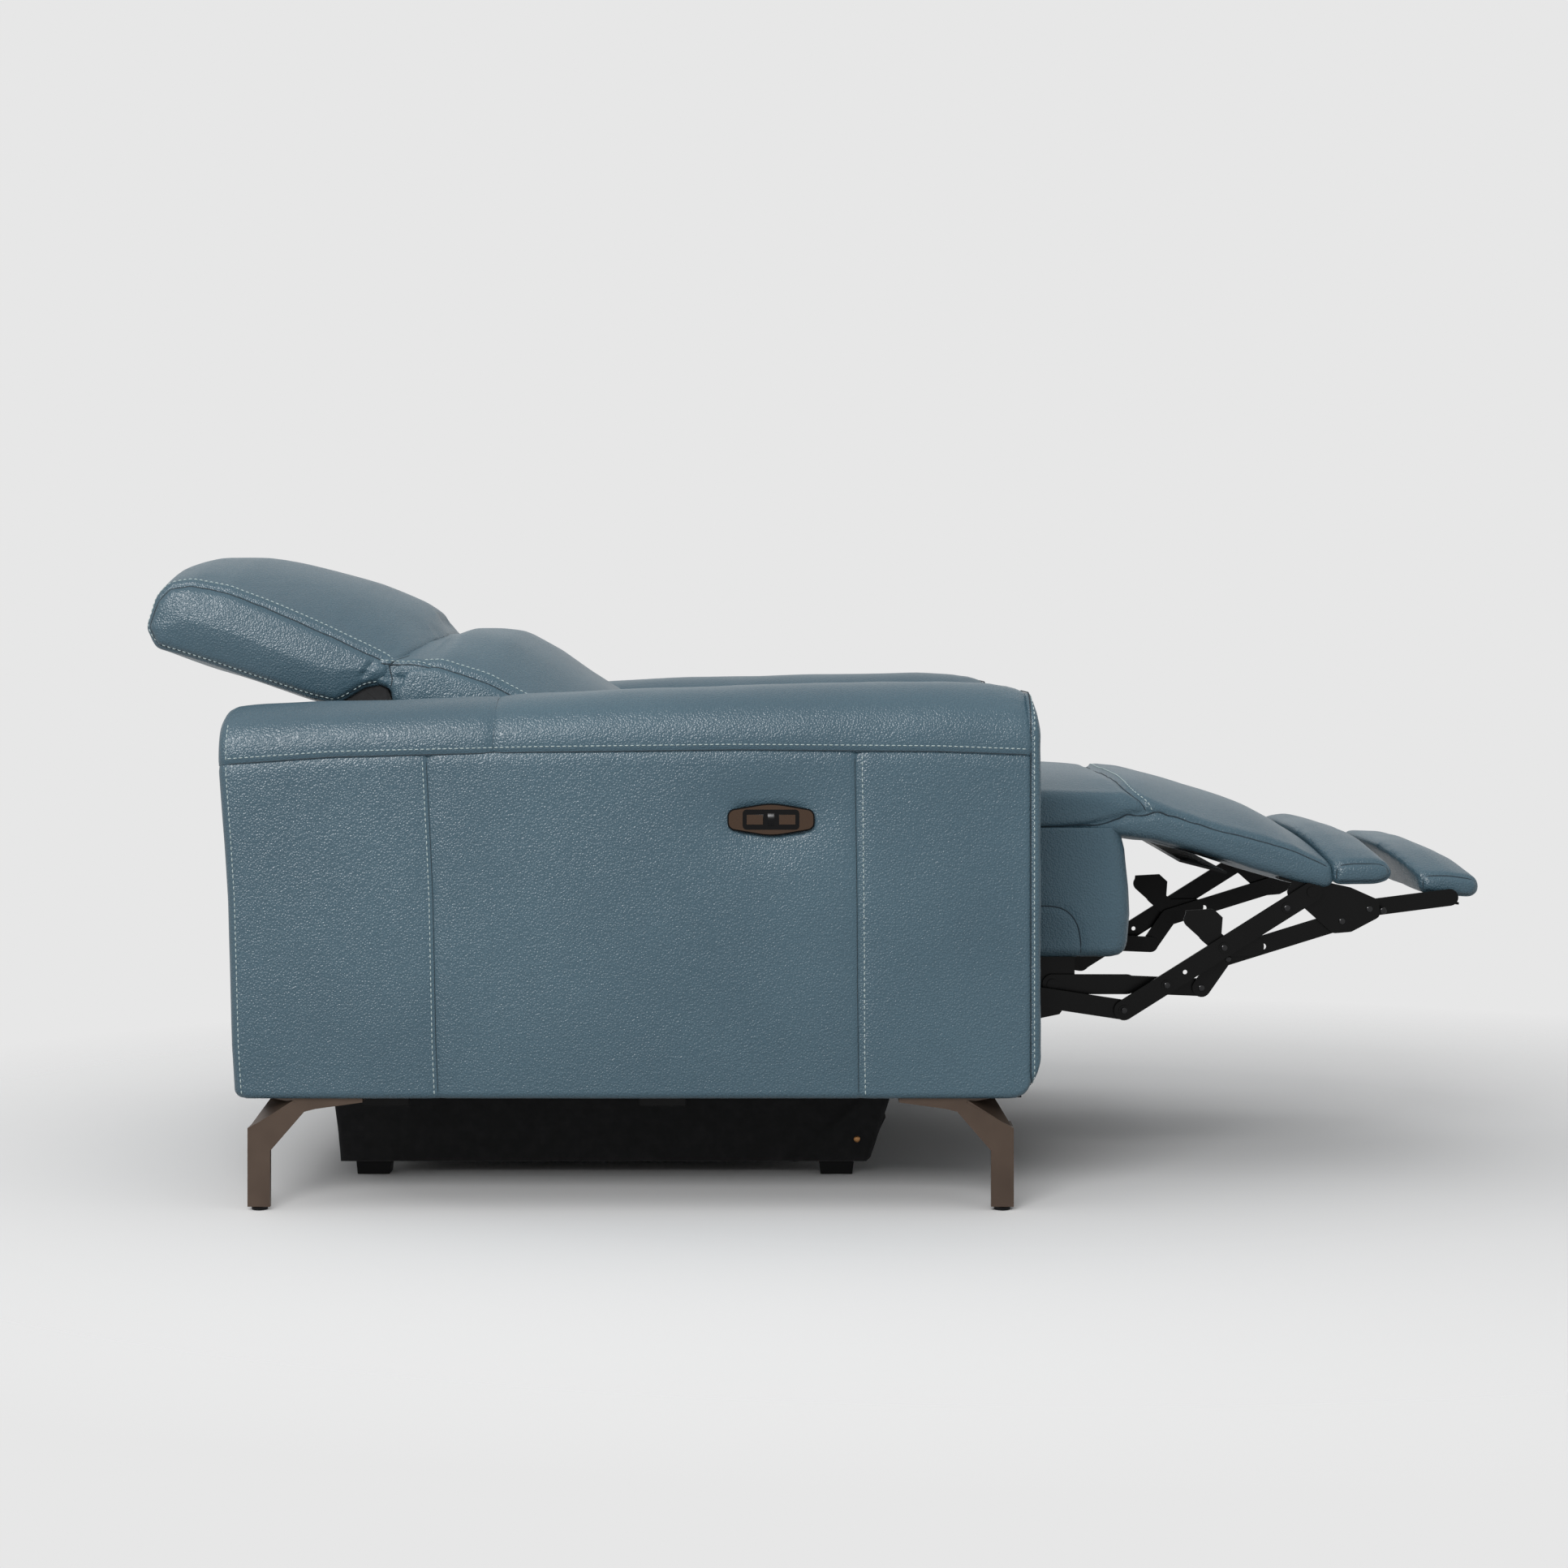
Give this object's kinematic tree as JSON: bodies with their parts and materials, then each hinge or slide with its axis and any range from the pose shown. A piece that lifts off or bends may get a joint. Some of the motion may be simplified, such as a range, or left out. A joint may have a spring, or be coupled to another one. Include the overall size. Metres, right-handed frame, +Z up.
{
  "type": "power recliner",
  "caption": "Leather armchair whose footrest, back and headrest are driven or tilted, on four bent metal legs, with a socket and two buttons in one arm.",
  "frame": {"origin": "on the floor, under the middle of the chair's full length as laid out", "axes": "+X towards the footrest, +Y to the sitter's left, +Z up"},
  "size_m": [1.7404, 1, 0.8277],
  "materials": {
    "leather_pad": "satin",
    "timber": "matte",
    "black_timber": "matte",
    "bronze_metal": "satin",
    "black_steel": "satin",
    "bright_steel": "satin",
    "black_cloth": "matte",
    "black_plastic": "matte",
    "bronze_plastic": "gloss",
    "pale_plastic": "matte"
  },
  "bodies": {
    "base": {"arm_frame_left": "timber", "arm_frame_right": "timber", "arm_outer_left": "leather_pad", "arm_outer_right": "leather_pad", "arm_inner_left": "leather_pad", "arm_inner_right": "leather_pad", "arm_top_left": "leather_pad", "arm_top_right": "leather_pad", "arm_front_left": "leather_pad", "arm_front_right": "leather_pad", "rear_panel": "leather_pad", "leg_front_left": "bronze_metal", "leg_front_right": "bronze_metal", "leg_rear_left": "bronze_metal", "leg_rear_right": "bronze_metal", "leg_glides": "black_plastic", "base_screws": "bright_steel", "base_rails": "black_timber", "support_blocks": "black_plastic", "cross_tubes": "black_steel", "tracks": "black_steel", "dust_cover": "black_cloth", "power_box": "black_plastic", "power_inlet": "black_plastic", "switch_plate": "bronze_plastic", "switch_bezel": "black_plastic", "usb_socket": "bright_steel"},
    "front_button": {"button_front": "bronze_plastic"},
    "rear_button": {"button_rear": "bronze_plastic"},
    "seat": {"side_plate_left": "black_steel", "side_plate_right": "black_steel", "glide_shoes": "pale_plastic", "carriage_tubes": "black_steel", "seat_frame": "timber", "seat_springs": "bright_steel", "seat_box": "leather_pad", "seat_cushion": "leather_pad", "footrest_motor": "black_steel", "recline_motor": "black_steel"},
    "drive_rod": {"footrest_rod": "bright_steel"},
    "lean_rod": {"recline_rod": "bright_steel"},
    "front_arms": {"torque_tube": "black_steel", "front_links": "black_steel"},
    "crank_arms": {"crank_links": "black_steel"},
    "footrest": {"footrest_board": "black_timber", "foot_brackets": "black_steel", "leg_pad": "leather_pad", "ankle_pad": "leather_pad"},
    "long_arms": {"long_links": "black_steel"},
    "outer_arms": {"outer_links": "black_steel"},
    "tip": {"tip_arms": "black_steel", "foot_pad": "leather_pad"},
    "back": {"back_frame": "black_steel", "back_board": "timber", "back_panel": "leather_pad", "back_cushion": "leather_pad", "head_hinge": "black_steel"},
    "head": {"head_frame": "black_steel", "head_board": "timber", "head_cushion": "leather_pad"}
  },
  "joints": [
    {"name": "seat_travel", "type": "slide", "parent": "base", "child": "seat", "axis": [-1, 0, 0], "range_m": [0, 0.22]},
    {"name": "back_recline", "type": "hinge", "parent": "seat", "child": "back", "pos_m": [-0.19, 0, 0.34], "axis": [0, 1, 0], "range_deg": [0, 45]},
    {"name": "recline_drive", "type": "slide", "parent": "seat", "child": "lean_rod", "axis": [-1, 0, 0], "range_m": [0, 0.053]},
    {"name": "head_tilt", "type": "hinge", "parent": "back", "child": "head", "pos_m": [-0.535, 0, 0.672], "axis": [0, 1, 0], "range_deg": [0, 40]},
    {"name": "footrest_fold", "type": "hinge", "parent": "seat", "child": "footrest", "pos_m": [0.45, 0, 0.46], "axis": [0, 1, 0], "range_deg": [0, 74.5]},
    {"name": "crank_swing", "type": "hinge", "parent": "seat", "child": "crank_arms", "pos_m": [0.31, 0, 0.252], "axis": [0, 1, 0], "range_deg": [0, 111.7]},
    {"name": "torque_swing", "type": "hinge", "parent": "seat", "child": "front_arms", "pos_m": [0.23, 0, 0.246], "axis": [0, 1, 0], "range_deg": [0, 96.8]},
    {"name": "footrest_drive", "type": "slide", "parent": "seat", "child": "drive_rod", "axis": [-1, 0, 0], "range_m": [0, 0.0889]},
    {"name": "long_swing", "type": "hinge", "parent": "footrest", "child": "long_arms", "pos_m": [0.648, 0, 0.375], "axis": [0, 1, 0], "range_deg": [-77.7, 0]},
    {"name": "outer_swing", "type": "hinge", "parent": "footrest", "child": "outer_arms", "pos_m": [0.688, 0, 0.336], "axis": [0, 1, 0], "range_deg": [-87, 0]},
    {"name": "tip_fold", "type": "hinge", "parent": "footrest", "child": "tip", "pos_m": [0.724, 0, 0.352], "axis": [0, 1, 0], "range_deg": [0, 165.1]},
    {"name": "front_button_press", "type": "slide", "parent": "base", "child": "front_button", "axis": [0, 1, 0], "range_m": [0, 0.002], "stiffness_N_per_m": 600},
    {"name": "rear_button_press", "type": "slide", "parent": "base", "child": "rear_button", "axis": [0, 1, 0], "range_m": [0, 0.002], "stiffness_N_per_m": 600}
  ],
  "couplings": [
    {"joint": "back_recline", "follows": "seat_travel", "rad_per_m": 3.5692},
    {"joint": "recline_drive", "follows": "seat_travel", "ratio": 0.24046},
    {"joint": "crank_swing", "follows": "footrest_fold", "ratio": 1.4988},
    {"joint": "torque_swing", "follows": "footrest_fold", "ratio": 1.2992},
    {"joint": "footrest_drive", "follows": "footrest_fold", "m_per_rad": 0.068293},
    {"joint": "long_swing", "follows": "footrest_fold", "ratio": -1.042},
    {"joint": "outer_swing", "follows": "footrest_fold", "ratio": -1.1666},
    {"joint": "tip_fold", "follows": "footrest_fold", "ratio": 2.2148}
  ]
}
